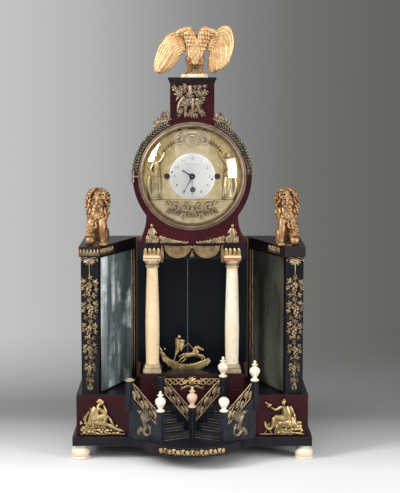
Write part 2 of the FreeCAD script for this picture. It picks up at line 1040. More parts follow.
def wing_case():
    outline = [
        (size.wing_outer, -size.pilaster_front),
        (size.wing_outer, size.case_back),
        (size.wing_inner_back, size.case_back),
        (size.wing_inner_front, -size.pilaster_front),
    ]
    return plan_piece("right_wing_case", outline, tier_top, wing_top_bottom - tier_top)


def wing_top():
    over = size.wing_top_overhang
    outline = [
        (size.wing_outer + over, -size.pilaster_front - over),
        (size.wing_outer + over, size.case_back),
        (size.wing_inner_back, size.case_back),
        (size.wing_inner_front - over, -size.pilaster_front - over),
    ]
    return plan_piece("right_wing_top", outline, wing_top_bottom, size.wing_top_height)


def wing_mirrors():
    across = size.wing_inner_back - size.wing_inner_front
    depth = size.case_back + size.pilaster_front
    length = root(across * across + depth * depth)
    start = size.mirror_border
    x = size.wing_inner_front + across / length * start
    y = depth / length * start - size.pilaster_front
    height = wing_top_bottom - tier_top - size.mirror_border
    wall = length * (back_board_front + size.pilaster_front) / depth
    long = wall - size.mirror_border - size.mirror_stile
    glass = box(
        "right_wing_mirror",
        x,
        y,
        tier_top + size.mirror_border / 2,
        long,
        size.mirror_thickness,
        height,
    )
    turn(glass, direction_angle(across, depth))
    return both_sides("wing_mirrors", glass)


def centre_mirror():
    return centred_box(
        "centre_mirror",
        size.centre_mirror_half_width,
        back_board_front - size.mirror_thickness,
        podium_top,
        size.mirror_thickness,
        ceiling_bottom - podium_top,
    )


def back_board():
    over = size.wing_top_overhang
    depth = size.case_back + size.pilaster_front + over
    across = size.wing_inner_front - over - size.wing_inner_back
    front_half = size.wing_inner_back + across * size.back_board_thickness / depth - size.running_clearance
    back_half = size.wing_inner_back - size.running_clearance
    outline = [
        (-back_half, size.case_back),
        (-front_half, back_board_front),
        (front_half, back_board_front),
        (back_half, size.case_back),
    ]
    return plan_piece("back_board", outline, tier_top, case_top - tier_top)


# Drum block, neck and cornice


FLANK_ANGLE_SHARE = 0.285


def drum_block():
    r = size.drum_radius
    flank_across = r * math.sqrt(1 - FLANK_ANGLE_SHARE * FLANK_ANGLE_SHARE)
    flank_level = dial_height - r * FLANK_ANGLE_SHARE
    waist = case_top + size.waist_rise
    foot = size.architrave_half_width
    middle_x = (size.waist_half_width + foot) / 2 - size.drum_flare
    middle_z = case_top + size.waist_rise / 2
    outline = [
        (-foot, case_top),
        (foot, case_top),
        through(middle_x, middle_z),
        (size.waist_half_width, waist),
        through(flank_across, flank_level),
        (r, dial_height),
        through(0, dial_height + r),
        (-r, dial_height),
        through(-flank_across, flank_level),
        (-size.waist_half_width, waist),
        through(-middle_x, middle_z),
    ]
    blank = front_plate_of(
        "drum_block_blank",
        [outline],
        drum_back,
        size.drum_depth,
        [(0, dial_height, size.drum_bore_radius)],
    )
    return cut("drum_block", blank, pendulum_slot("drum_slot", case_top, dial_height - case_top))


def neck_block():
    blank = centred_box(
        "neck_blank",
        size.neck_half_width,
        size.drum_front,
        dial_height,
        size.neck_depth,
        size.neck_rise,
    )
    round_head = rod(
        "neck_seat",
        0,
        size.drum_front - size.overrun,
        dial_height,
        size.drum_radius,
        size.neck_depth + size.overrun * 2,
    )
    return cut("neck_block", blank, round_head)


def neck_cornice():
    step = size.neck_cornice_step
    height = size.neck_cornice_height / 2
    wide = centred_box(
        "neck_cornice_top",
        size.neck_cornice_half_width,
        size.drum_front - step,
        neck_top + height,
        size.neck_depth + step * 2,
        height,
    )
    narrow = centred_box(
        "neck_cornice_cove",
        size.neck_half_width + step / 2,
        size.drum_front - step / 2,
        neck_top,
        size.neck_depth + step,
        height,
    )
    return fuse("neck_cornice", [wide, narrow])


# Double-headed eagle with half-spread wings, carved with its plinth. The right wing is held higher.
# Section shares: middle across, middle back, level, half width, half depth.

EAGLE_BODY_SHARES = [
    (0.01, 0, 0.32, 0.07, 0.2),
    (0.01, 0, 0.4, 0.115, 0.32),
    (0.01, 0.02, 0.58, 0.15, 0.44),
    (0.01, 0.04, 0.76, 0.145, 0.38),
    (0.01, 0.04, 0.86, 0.09, 0.24),
]
EAGLE_LEG_SHARES = [
    (0.055, 0, 0.0, 0.05, 0.24),
    (0.055, 0, 0.1, 0.042, 0.18),
    (0.055, 0, 0.26, 0.05, 0.22),
    (0.06, 0, 0.42, 0.07, 0.3),
]
EAGLE_NECK_SHARES = [
    (0.075, 0.0, 0.7, 0.08, 0.28),
    (0.085, -0.02, 0.84, 0.075, 0.26),
    (0.09, -0.06, 0.94, 0.075, 0.24),
    (0.1, -0.06, 1.0, 0.03, 0.1),
]
EAGLE_BEAK_SHARES = [
    (0.08, 0.985),
    (0.17, 0.965),
    (0.235, 0.9),
    (0.24, 0.84),
    (0.21, 0.86),
    (0.14, 0.84),
    (0.08, 0.84),
]
EAGLE_LEFT_WING_SHARES = [
    (-0.08, 0.9),
    (-0.19, 0.91),
    (-0.27, 0.88),
    (-0.34, 0.78),
    (-0.41, 0.56),
    (-0.46, 0.3),
    (-0.48, 0.12),
    (-0.465, 0.02),
    (-0.396, 0.02),
    (-0.298, 0.09),
    (-0.214, 0.25),
    (-0.15, 0.43),
    (-0.08, 0.48),
]
EAGLE_RIGHT_WING_SHARES = [
    (0.08, 0.84),
    (0.2, 0.83),
    (0.318, 0.87),
    (0.415, 0.985),
    (0.486, 0.94),
    (0.513, 0.78),
    (0.486, 0.5),
    (0.4, 0.23),
    (0.318, 0.06),
    (0.255, 0.035),
    (0.213, 0.115),
    (0.2, 0.46),
    (0.08, 0.5),
]
EAGLE_WING_DEPTH_SHARE = 0.26
EAGLE_WING_BACK_SHARE = 0.2
EAGLE_BEAK_DEPTH_SHARE = 0.16


def eagle():
    width = size.eagle_width
    depth = size.eagle_depth
    height = size.eagle_height
    middle = size.drum_front + size.neck_depth / 2
    level = neck_cornice_top + size.eagle_plinth_height
    pieces = []
    for shares in (EAGLE_LEFT_WING_SHARES, EAGLE_RIGHT_WING_SHARES):
        wing = plate_from_shares(shares, width, height, depth * EAGLE_WING_DEPTH_SHARE)
        wing.translate(FreeCAD.Vector(0, depth * EAGLE_WING_BACK_SHARE, 0))
        pieces.append(wing)
    beak = plate_from_shares(EAGLE_BEAK_SHARES, width, height, depth * EAGLE_BEAK_DEPTH_SHARE)
    side = [
        beak,
        carved(EAGLE_LEG_SHARES, width, depth, height),
        carved(EAGLE_NECK_SHARES, width, depth, height),
    ]
    other = [piece.mirror(FreeCAD.Vector(), FreeCAD.Vector(1, 0, 0)) for piece in side]
    bird = carved(EAGLE_BODY_SHARES, width, depth, height).fuse(pieces + side + other)
    bird.translate(FreeCAD.Vector(0, middle, level))
    plinth = Part.makeBox(
        size.eagle_plinth_width,
        size.eagle_plinth_depth,
        size.eagle_plinth_height,
        FreeCAD.Vector(-size.eagle_plinth_width / 2, middle - size.eagle_plinth_depth / 2, neck_cornice_top),
    )
    return scripted("eagle", bird.fuse(plinth).removeSplitter())


# Seated lion: haunches behind, straight foreleg inside, the other paw on a ball outside

LION_BODY_SHARES = [
    (0.0, 0.16, 0.0, 0.47, 0.34),
    (0.02, 0.16, 0.14, 0.48, 0.34),
    (0.02, 0.1, 0.34, 0.42, 0.3),
    (0.0, 0.02, 0.55, 0.38, 0.27),
    (0.0, -0.02, 0.66, 0.36, 0.27),
]
LION_MANE_SHARES = [
    (-0.04, -0.08, 0.32, 0.2, 0.22),
    (-0.04, -0.09, 0.46, 0.36, 0.33),
    (-0.04, -0.08, 0.64, 0.44, 0.37),
    (-0.04, -0.06, 0.82, 0.45, 0.35),
    (-0.04, -0.04, 0.95, 0.4, 0.29),
    (-0.04, -0.03, 1.0, 0.26, 0.18),
]
LION_MUZZLE_SHARES = [
    (-0.04, -0.3, 0.72, 0.28, 0.12),
    (-0.04, -0.4, 0.71, 0.21, 0.09),
    (-0.04, -0.47, 0.7, 0.14, 0.06),
]
LION_FORELEG_SHARES = [
    (-0.26, -0.34, 0.0, 0.17, 0.16),
    (-0.26, -0.34, 0.07, 0.16, 0.15),
    (-0.25, -0.28, 0.12, 0.11, 0.1),
    (-0.2, -0.22, 0.34, 0.13, 0.12),
    (-0.16, -0.12, 0.5, 0.16, 0.16),
]
LION_PAW_SHARES = [
    (0.24, -0.33, 0.15, 0.15, 0.14),
    (0.23, -0.3, 0.25, 0.15, 0.14),
    (0.16, -0.16, 0.46, 0.16, 0.15),
]


LION_BALL_SHARES = [
    (0.25, -0.33, 0.0, 0.1, 0.08),
    (0.25, -0.33, 0.04, 0.2, 0.155),
    (0.25, -0.33, 0.1, 0.22, 0.17),
    (0.25, -0.33, 0.16, 0.17, 0.13),
    (0.25, -0.33, 0.185, 0.08, 0.06),
]


def right_lion():
    width = size.lion_width
    length = size.lion_length
    height = size.lion_height
    pieces = [
        carved(LION_MANE_SHARES, width, length, height),
        carved(LION_MUZZLE_SHARES, width, length, height, facing="y"),
        carved(LION_FORELEG_SHARES, width, length, height),
        carved(LION_PAW_SHARES, width, length, height),
        carved(LION_BALL_SHARES, width, length, height),
    ]
    lion = carved(LION_BODY_SHARES, width, length, height).fuse(pieces)
    lion.translate(FreeCAD.Vector(size.lion_across, size.lion_back, case_top))
    return scripted("right_lion", lion.removeSplitter())


# Dial mask and enamel dial


def winding_places():
    """The three winding squares: going below the centre, the two striking trains at the sides."""
    return {
        "going": (size.going_across, dial_height - size.winding_below),
        "strike": (size.winding_across, dial_height),
        "quarter": (-size.winding_across, dial_height),
    }


MASK_WALL_SHARE = 0.8
ENAMEL_EDGE_SHARE = 0.5
ENAMEL_BEVEL_SHARE = 0.9


def dial_mask():
    r = size.mask_radius
    inner = size.enamel_radius + size.bearing_clearance
    back = size.drum_front
    thick = size.mask_thickness
    flat = back - thick * MASK_WALL_SHARE
    outline = [
        (inner, back),
        (r, back),
        (r, mask_front),
        (size.bezel_inner_radius - thick, mask_front),
        (size.bezel_inner_radius - thick * 2, flat),
        (inner, flat),
    ]
    sheet_metal = place(faceted("dial_mask_blank", outline, DIAL_SIDES, "y"), 0, 0, dial_height)
    holes = []
    for side, (x, z) in enumerate((winding_places()["strike"], winding_places()["quarter"])):
        holes.append(
            rod(f"mask_hole_{side + 1}", x, 0, z, size.enamel_hole_radius, size.drum_front + size.overrun),
        )
    return cut("dial_mask", sheet_metal, group("mask_holes", holes))


def enamel_dial():
    r = size.enamel_radius
    back = size.drum_front
    front = enamel_front
    outline = [
        (0, back),
        (r, back),
        (r, front + size.enamel_thickness * ENAMEL_EDGE_SHARE),
        (r * ENAMEL_BEVEL_SHARE, front),
        (0, front),
    ]
    disc = place(faceted("enamel_blank", outline, DIAL_SIDES, "y"), 0, 0, dial_height)
    reach = size.drum_front + size.overrun
    centre = rod("enamel_centre_hole", 0, 0, dial_height, size.enamel_hole_radius, reach)
    x, z = winding_places()["going"]
    winding = rod("enamel_winding_hole", x, 0, z, size.enamel_hole_radius, reach)
    return cut("enamel_dial", disc, group("enamel_holes", [centre, winding]))


# Bezel on its hinge, with the domed glass


BEZEL_PROFILE_SHARES = [
    (0, 0),
    (1, 0),
    (1, 0.35),
    (0.8, 0.8),
    (0.4, 1),
    (0, 0.8),
]
GLASS_SEAT_SHARE = 0.6
GLASS_PROFILE_SHARES = [(0, 1), (0.3, 0.93), (0.56, 0.73), (0.78, 0.45)]
LUG_REACH_SHARE = 0.5


def bezel():
    inner = size.bezel_inner_radius
    width = size.bezel_radius - inner
    outline = scaled(BEZEL_PROFILE_SHARES, width, -size.bezel_thickness, inner, bezel_back)
    ring = place(faceted("bezel_ring", outline, DIAL_SIDES, "y"), 0, 0, dial_height)
    knuckle_bottom = dial_height - size.hinge_knuckle_length / 2
    knuckle = rod(
        "bezel_knuckle",
        -size.hinge_across,
        0,
        knuckle_bottom,
        size.hinge_knuckle_radius,
        size.hinge_knuckle_length,
        "z",
    )
    lug = box(
        "bezel_lug",
        -size.hinge_across,
        bezel_back - size.mask_thickness,
        knuckle_bottom,
        size.hinge_across - inner - width * LUG_REACH_SHARE,
        size.mask_thickness,
        size.hinge_knuckle_length,
    )
    whole = fuse("bezel_blank", [ring, knuckle, lug])
    bore = rod(
        "bezel_pin_bore",
        -size.hinge_across,
        0,
        knuckle_bottom - size.overrun,
        size.hinge_pin_radius + size.bearing_clearance,
        size.hinge_knuckle_length + size.overrun * 2,
        "z",
    )
    return cut("bezel", whole, bore)


def glass_dome():
    r = size.bezel_inner_radius
    rise = size.glass_rise
    thick = size.glass_thickness
    edge = bezel_back - size.bezel_thickness * GLASS_SEAT_SHARE + thick
    outside = scaled(GLASS_PROFILE_SHARES, r, -rise, 0, edge)
    inside = scaled(GLASS_PROFILE_SHARES, r - thick, thick - rise, 0, edge)
    outline = outside + [(r, edge - thick), (r, edge), (r - thick, edge)] + inside[::-1]
    return place(faceted("glass_dome", outline, DIAL_SIDES, "y"), 0, 0, dial_height)


DOOR_PIN_SHARE = 0.6
DOOR_KNUCKLE_SHARE = 0.58
DOOR_STRAP_SHARES = (0.6, 0.7)
DOOR_KNOB_SHARE = 0.8


def hinge_pins():
    """The pin of the bezel in two eyes on the drum, and the pin of the rear door in two eyes on its back."""
    half = size.hinge_knuckle_length / 2
    length = size.hinge_knuckle_length
    pin_length = length * 2
    front_pin = rod(
        "bezel_pin",
        -size.hinge_across,
        0,
        dial_height - length,
        size.hinge_pin_radius,
        pin_length,
        "z",
    )
    eyes = [front_pin]
    for number, level in enumerate((dial_height - length, dial_height + half + size.running_clearance)):
        eye_length = half - size.running_clearance
        eye = rod(
            f"bezel_eye_{number + 1}",
            -size.hinge_across,
            0,
            level,
            size.hinge_knuckle_radius,
            eye_length,
            "z",
        )
        leaf = box(
            f"bezel_leaf_{number + 1}",
            -size.hinge_across - size.hinge_pin_radius,
            0,
            level,
            size.hinge_pin_radius * 2,
            size.drum_front,
            eye_length,
        )
        eyes.extend([eye, leaf])
    front_set = fuse("bezel_pin_and_eyes", eyes)
    back_eyes = [
        rod(
            "door_pin",
            size.door_hinge_across,
            door_axis(),
            dial_height - length,
            size.hinge_pin_radius * DOOR_PIN_SHARE,
            pin_length,
            "z",
        )
    ]
    for number, level in enumerate((dial_height - length, dial_height + half + size.running_clearance)):
        eye_length = half - size.running_clearance
        back_eyes.append(
            rod(
                f"door_eye_{number + 1}",
                size.door_hinge_across,
                door_axis(),
                level,
                door_knuckle(),
                eye_length,
                "z",
            )
        )
    back_set = fuse("door_pin_and_eyes", back_eyes)
    return group("hinge_pins", [front_set, back_set])


# Rear door in the bore of the drum


def door_knuckle():
    return size.hinge_knuckle_radius * DOOR_KNUCKLE_SHARE


def door_axis():
    return drum_back + door_knuckle()


def rear_door():
    disc = rod(
        "door_disc",
        0,
        drum_back - size.door_thickness,
        dial_height,
        size.door_radius,
        size.door_thickness,
    )
    length = size.hinge_knuckle_length
    strap_start = size.door_radius * DOOR_STRAP_SHARES[0]
    strap = box(
        "door_strap",
        strap_start,
        drum_back,
        dial_height - length / 2,
        size.door_hinge_across - strap_start,
        door_knuckle() * DOOR_STRAP_SHARES[1],
        length,
    )
    knuckle = rod(
        "door_knuckle",
        size.door_hinge_across,
        door_axis(),
        dial_height - length / 2,
        door_knuckle(),
        length,
        "z",
    )
    knob = rod(
        "door_knob",
        -size.door_radius * DOOR_KNOB_SHARE,
        drum_back,
        dial_height,
        size.hinge_knuckle_radius,
        door_knuckle() * 2,
    )
    whole = fuse("rear_door_blank", [disc, strap, knuckle, knob])
    bore = rod(
        "door_pin_bore",
        size.door_hinge_across,
        door_axis(),
        dial_height - length,
        size.hinge_pin_radius * DOOR_PIN_SHARE + size.bearing_clearance,
        length * 2,
        "z",
    )
    return cut("rear_door", whole, bore)


# Movement frame


def arbor_places():
    """Plan places of the arbors that run between the plates, each with its radius."""
    places = {name: (*where, size.winding_arbor_radius) for name, where in winding_places().items()}
    places["centre"] = (0, dial_height, size.arbor_radius)
    places["pallets"] = (-size.pendulum_across, suspension_height, size.small_arbor_radius)
    places["escape"] = (-size.pendulum_across, suspension_height - size.escape_below, size.small_arbor_radius)
    return places


def movement_plate(name, back, extra_holes=()):
    outline = [
        (-size.plate_half_width, dial_height - size.plate_below),
        (size.plate_half_width, dial_height - size.plate_below),
        (size.plate_half_width, dial_height + size.plate_above),
        (-size.plate_half_width, dial_height + size.plate_above),
    ]
    bearings = [*arbor_places().values(), *extra_holes]
    holes = [(x, z, radius + size.bearing_clearance) for x, z, radius in bearings]
    return front_plate_of(name, [outline], back, size.plate_thickness, holes)


def front_plate():
    plate = movement_plate("front_plate_sheet", front_plate_back)
    ears = centred_box(
        "front_plate_ears_blank",
        size.drum_radius,
        size.front_plate_behind,
        dial_height + size.plate_above - size.plate_ear_height,
        size.plate_thickness,
        size.plate_ear_height,
    )
    reach = rod(
        "front_plate_reach",
        0,
        size.front_plate_behind,
        dial_height,
        size.drum_bore_radius,
        size.plate_thickness,
    )
    trimmed = common("front_plate_ears", ears, reach)
    middle = centred_box(
        "front_plate_middle",
        size.plate_half_width,
        size.front_plate_behind - size.overrun,
        dial_height,
        size.plate_thickness + size.overrun * 2,
        size.plate_above + size.overrun,
    )
    return fuse("front_plate", [plate, cut("front_plate_ear_pair", trimmed, middle)])


def back_plate():
    """The pillars are riveted into the back plate."""
    hammer_bearing = (size.hammer_side_offset, dial_height - size.hammer_drop, size.gong_wire / 2)
    plate = movement_plate("back_plate_sheet", back_plate_back, [hammer_bearing])
    inset = size.plate_half_width - size.pillar_inset
    pillars = []
    for number in range(PILLARS):
        side = 1 if number % 2 else -1
        level = dial_height + size.plate_above - size.pillar_inset
        if number > 1:
            level = dial_height - size.plate_below + size.pillar_inset
        x = inset * side
        name = f"pillar_{number + 1}"
        pillars.append(rod(name, x, front_plate_back, level, size.pillar_radius, size.plate_spacing))
    return fuse("back_plate", [plate] + pillars)


def suspension_cock():
    """A cock on the front plate that carries the pin of the pendulum from the front."""
    x = -size.pendulum_across - size.cock_width / 2
    top = suspension_height + size.cock_width
    thick = size.cock_thickness
    front = size.pendulum_behind - size.suspension_hub_length / 2 - size.running_clearance - thick
    arm = box("cock_arm", x, front, top, size.cock_width, size.front_plate_behind - front, thick)
    leg_bottom = suspension_height - size.cock_width / 2
    leg = box("cock_leg", x, front, leg_bottom, size.cock_width, thick, top - leg_bottom)
    pin_length = size.suspension_hub_length + size.running_clearance + thick
    carrying_pin = rod(
        "cock_pin",
        -size.pendulum_across,
        front,
        suspension_height,
        size.suspension_pin_radius,
        pin_length,
    )
    return fuse("suspension_cock", [arm, leg, carrying_pin])


# Wheels


ROOT_SHARES = (0, 0.36)
TIP_SHARES = (0.36, 0.56)
STRAIGHT_TOOTH_SHARE = 0.1
ESCAPE_LEAN_SHARE = 0.42
RATCHET_LEAN_SHARE = 0.3
HUB_SHARE = 0.24
SPOKE_SHARE = 0.1


def toothed_outline(radius, tooth, count, lean_share):
    """Outline of a wheel whose teeth lean by a share of their pitch."""
    points = []
    pitch = 2 * math.pi / count
    for number in range(count):
        places = [(share, radius - tooth) for share in ROOT_SHARES]
        places += [(share + lean_share, radius) for share in TIP_SHARES]
        for share, reach in places:
            turned_by = (number + share) * pitch
            points.append(FreeCAD.Vector(reach * math.sin(turned_by), 0, reach * math.cos(turned_by)))
    return points + points[:1]


def toothed_disc(radius, tooth, count, lean_share, thickness):
    """A solid wheel in the XZ plane, from Y zero backwards."""
    face = Part.Face(Part.makePolygon(toothed_outline(radius, tooth, count, lean_share)))
    return face.extrude(FreeCAD.Vector(0, thickness, 0))


def toothed_wheel(radius, tooth, count, lean_share, thickness):
    """A toothed disc with its windows between a rim, a hub and the spokes."""
    wheel = toothed_disc(radius, tooth, count, lean_share, thickness)
    axis = FreeCAD.Vector(0, 1, 0)
    rim = Part.makeCylinder(radius - tooth * 2, thickness, FreeCAD.Vector(), axis)
    hub = Part.makeCylinder(radius * HUB_SHARE, thickness, FreeCAD.Vector(), axis)
    window = rim.cut(hub)
    spoke_width = radius * SPOKE_SHARE
    for number in range(WHEEL_SPOKES):
        spoke = Part.makeBox(spoke_width, thickness, radius, FreeCAD.Vector(-spoke_width / 2, 0, 0))
        spoke.rotate(FreeCAD.Vector(), axis, FULL_TURN * number / WHEEL_SPOKES)
        window = window.cut(spoke)
    return wheel.cut(window)


def arbor(radius, start, end):
    return Part.makeCylinder(radius, end - start, FreeCAD.Vector(0, start, 0), FreeCAD.Vector(0, 1, 0))


def centre_wheel():
    start = back_plate_front - size.barrel_inset
    wheel = toothed_wheel(
        size.centre_wheel_radius,
        size.wheel_tooth_height,
        CENTRE_WHEEL_TEETH,
        STRAIGHT_TOOTH_SHARE,
        size.wheel_thickness,
    )
    wheel.translate(FreeCAD.Vector(0, start, 0))
    hole = arbor(size.arbor_radius, start - size.overrun, start + size.wheel_thickness + size.overrun)
    made = scripted("centre_wheel", wheel.cut(hole))
    return place(made, 0, 0, dial_height)


def escape_wheel():
    wheel = toothed_wheel(
        size.escape_wheel_radius,
        size.escape_tooth_height,
        ESCAPE_WHEEL_TEETH,
        ESCAPE_LEAN_SHARE,
        size.wheel_thickness,
    )
    start = escapement_front
    wheel.translate(FreeCAD.Vector(0, start, 0))
    shaft = arbor(size.small_arbor_radius, size.front_plate_behind, back_plate_back)
    made = scripted("escape_wheel", wheel.fuse(shaft))
    return place(made, -size.pendulum_across, 0, suspension_height - size.escape_below)


# Pallets over the escape wheel, with the crutch that the rod rides in

PALLET_ARM_SHARES = [
    (-0.5, -0.62),
    (-0.42, -0.3),
    (-0.16, 0.14),
    (0.16, 0.14),
    (0.42, -0.3),
    (0.5, -0.62),
    (0.34, -0.4),
    (0.1, -0.16),
    (-0.1, -0.16),
    (-0.34, -0.4),
]


PALLET_SPAN_SHARE = 1.7
PALLET_DROP_SHARE = 0.42
CRUTCH_HALF_WIDTH_SHARE = 1.6
PRONG_WIDTH_SHARE = 1.4
PRONG_HEIGHT_SHARE = 3


def pallet_anchor():
    span = size.escape_wheel_radius * PALLET_SPAN_SHARE
    drop = size.escape_below * PALLET_DROP_SHARE
    arms = plate_from_shares(PALLET_ARM_SHARES, span, drop, size.wheel_thickness)
    arms.translate(FreeCAD.Vector(0, escapement_front + size.wheel_thickness, 0))
    crutch_back = size.front_plate_behind - size.running_clearance * 2
    crutch_front = crutch_back - size.crutch_thickness
    shaft = arbor(size.small_arbor_radius, crutch_front, back_plate_back)
    half = size.rod_radius * CRUTCH_HALF_WIDTH_SHARE
    prong_width = size.rod_radius * PRONG_WIDTH_SHARE
    prong_height = size.rod_radius * PRONG_HEIGHT_SHARE
    prong_middle = size.rod_radius * 2 + size.running_clearance
    arm_depth = crutch_back - crutch_front
    arm = Part.makeBox(
        half * 2,
        arm_depth,
        size.crutch_length,
        FreeCAD.Vector(-half, crutch_front, -size.crutch_length),
    )
    prong_reach = prong_middle + prong_width / 2
    bridge = Part.makeBox(
        prong_reach * 2,
        arm_depth,
        prong_height,
        FreeCAD.Vector(-prong_reach, crutch_front, -size.crutch_length),
    )
    fork = [bridge]
    for side in (-1, 1):
        prong_front = size.pendulum_behind - size.rod_radius * 2
        prong = Part.makeBox(
            prong_width,
            crutch_back - prong_front,
            prong_height,
            FreeCAD.Vector(prong_middle * side - prong_width / 2, prong_front, -size.crutch_length),
        )
        fork.append(prong)
    made = scripted("pallet_anchor", shaft.fuse([arms, arm] + fork))
    return place(made, -size.pendulum_across, 0, suspension_height)


# Pendulum: a thin rod and a gilt garland boat with a horse and a winged figure


def pendulum_rod():
    x = -size.pendulum_across
    hub_front = size.pendulum_behind - size.suspension_hub_length / 2
    hub_length = size.suspension_hub_length
    hub = rod("pendulum_hub", x, hub_front, suspension_height, size.suspension_hub_radius, hub_length)
    bottom = bob_bottom + size.rod_above_bob
    shank = rod(
        "pendulum_shank",
        x,
        size.pendulum_behind,
        bottom,
        size.rod_radius,
        suspension_height - bottom,
        "z",
    )
    whole = fuse("pendulum_blank", [hub, shank])
    bore = rod(
        "pendulum_bore",
        x,
        hub_front - size.overrun,
        suspension_height,
        size.suspension_pin_radius + size.bearing_clearance,
        hub_length + size.overrun * 2,
    )
    return cut("pendulum_rod", whole, bore)


# Shares of a unit of the bob, from the middle of the boat's keel. The boat is so many units wide.

BOAT_WIDTH_SHARE = 5.97
BOAT_SHARES = [
    (-3.42, 2.66),
    (-3.2, 1.7),
    (-2.5, 0.85),
    (-1.6, 0.26),
    (-0.6, 0.0),
    (0.5, 0.06),
    (1.5, 0.4),
    (2.2, 0.85),
    (2.55, 1.2),
    (1.6, 1.0),
    (0.6, 0.98),
    (-0.5, 1.02),
    (-1.5, 1.3),
    (-2.4, 1.85),
    (-3.0, 2.5),
]
HORSE_SHARES = [
    (-1.2, 0.8),
    (-0.9, 1.5),
    (-0.5, 2.0),
    (-0.3, 2.3),
    (0.4, 2.3),
    (0.9, 2.3),
    (1.2, 2.75),
    (1.7, 2.7),
    (2.2, 2.3),
    (2.0, 2.15),
    (1.6, 2.2),
    (1.5, 1.9),
    (2.3, 1.8),
    (2.2, 1.6),
    (1.3, 1.6),
    (0.8, 1.5),
    (0.2, 1.5),
    (-0.1, 0.8),
]
RIDER_SHARES = [
    (-2.1, 1.3),
    (-2.0, 2.2),
    (-2.2, 3.0),
    (-1.8, 3.8),
    (-1.5, 4.1),
    (-1.2, 3.7),
    (-0.7, 3.2),
    (-0.8, 2.6),
    (-1.3, 2.1),
    (-1.5, 1.2),
]


def pendulum_bob():
    unit = size.bob_width / BOAT_WIDTH_SHARE
    pieces = []
    for shares in (BOAT_SHARES, HORSE_SHARES, RIDER_SHARES):
        pieces.append(plate_from_shares(shares, unit, unit, size.bob_thickness))
    whole = pieces[0].fuse(pieces[1:])
    whole.translate(
        FreeCAD.Vector(-size.pendulum_across, size.pendulum_behind + size.bob_thickness / 2, bob_bottom),
    )
    whole = whole.cut(doc.getObject("pendulum_shank").Shape)
    return scripted("pendulum_bob", whole.removeSplitter())


# Hands


HAND_SHARES = [(-0.5, 0), (-0.25, 0.7), (-0.5, 0.8), (0, 1), (0.5, 0.8), (0.25, 0.7), (0.5, 0)]


def hand(name, length, width, boss, layer, pipe, back, bore, angle):
    """A hand that points up, with its pipe, then turned clockwise seen from the front."""
    thick = size.hand_thickness
    front = enamel_front - (thick + size.hand_gap) * layer
    axis = FreeCAD.Vector(0, 1, 0)
    blade = plate_from_shares(HAND_SHARES, width, length, thick)
    blade.translate(FreeCAD.Vector(0, front + thick, 0))
    disc = Part.makeCylinder(boss, thick, FreeCAD.Vector(0, front, 0), axis)
    whole = blade.fuse([disc, arbor(pipe, front, back)])
    if bore:
        whole = whole.cut(arbor(bore, front - size.overrun, back + size.overrun))
    whole.rotate(FreeCAD.Vector(), axis, angle)
    return place(scripted(name, whole), 0, 0, dial_height)


def hour_hand():
    return hand(
        "hour_hand",
        size.hour_hand_length,
        size.hour_hand_width,
        size.hand_boss_radius,
        1,
        size.hour_pipe_radius,
        size.drum_front + size.pipe_step,
        size.third_pipe_radius + size.bearing_clearance,
        HOUR_ANGLE,
    )


def third_hand():
    return hand(
        "third_hand",
        size.third_hand_length,
        size.third_hand_width,
        size.hour_pipe_radius,
        2,
        size.third_pipe_radius,
        size.drum_front + size.pipe_step * 2,
        size.arbor_radius + size.bearing_clearance,
        THIRD_ANGLE,
    )


def minute_hand():
    return hand(
        "minute_hand",
        size.minute_hand_length,
        size.minute_hand_width,
        size.hour_pipe_radius,
        3,
        size.arbor_radius,
        back_plate_back,
        0,
        MINUTE_ANGLE,
    )


# Winding arbors with their ratchet wheels, and the spring barrels


def winding_arbor(name, place_name):
    x, z = winding_places()[place_name]
    front = size.drum_front
    square_length = size.winding_square_length
    square = size.winding_square
    key_end = Part.makeBox(square, square_length, square, FreeCAD.Vector(-square / 2, front, -square / 2))
    shaft = arbor(size.winding_arbor_radius, front + square_length, back_plate_back)
    ratchet = toothed_disc(
        size.ratchet_radius,
        size.wheel_tooth_height,
        RATCHET_TEETH,
        RATCHET_LEAN_SHARE,
        size.ratchet_thickness,
    )
    ratchet.translate(FreeCAD.Vector(0, front_plate_back + size.running_clearance * 2, 0))
    return place(scripted(name, shaft.fuse([key_end, ratchet])), x, 0, z)


def spring_barrels():
    barrels = []
    start = front_plate_back + size.barrel_inset
    for name, (x, z) in winding_places().items():
        drum = rod(f"{name}_barrel_drum", x, start, z, size.barrel_radius, size.barrel_length)
        bore = rod(
            f"{name}_barrel_bore",
            x,
            start - size.overrun,
            z,
            size.winding_arbor_radius + size.bearing_clearance,
            size.barrel_length + size.overrun * 2,
        )
        barrels.append(cut(f"{name}_barrel", drum, bore))
    return group("spring_barrels", barrels)


# Gong and hammer


def gong():
    """An open ring of square wire, its foot screwed to the floor of the drum."""
    half = size.gong_wire / 2
    r = size.gong_radius
    y = size.gong_behind
    section = Part.makePolygon(
        [
            FreeCAD.Vector(r - half, y, 0),
            FreeCAD.Vector(r + half, y, 0),
            FreeCAD.Vector(r + half, y + half * 2, 0),
            FreeCAD.Vector(r - half, y + half * 2, 0),
            FreeCAD.Vector(r - half, y, 0),
        ]
    )
    ring = Part.Face(section).revolve(FreeCAD.Vector(), FreeCAD.Vector(0, 1, 0), GONG_SWEEP)
    ring.rotate(FreeCAD.Vector(), FreeCAD.Vector(0, 1, 0), QUARTER_TURN)
    foot_width = size.gong_wire * 4
    foot_height = size.drum_bore_radius - r + half
    foot = Part.makeBox(
        foot_width,
        size.gong_wire * 2,
        foot_height,
        FreeCAD.Vector(-foot_width, y - half, -size.drum_bore_radius),
    )
    seat = Part.makeCylinder(
        size.drum_bore_radius,
        size.gong_wire * 2,
        FreeCAD.Vector(0, y - half, 0),
        FreeCAD.Vector(0, 1, 0),
    )
    made = scripted("gong", ring.fuse(foot.common(seat)).removeSplitter())
    return place(made, 0, 0, dial_height)


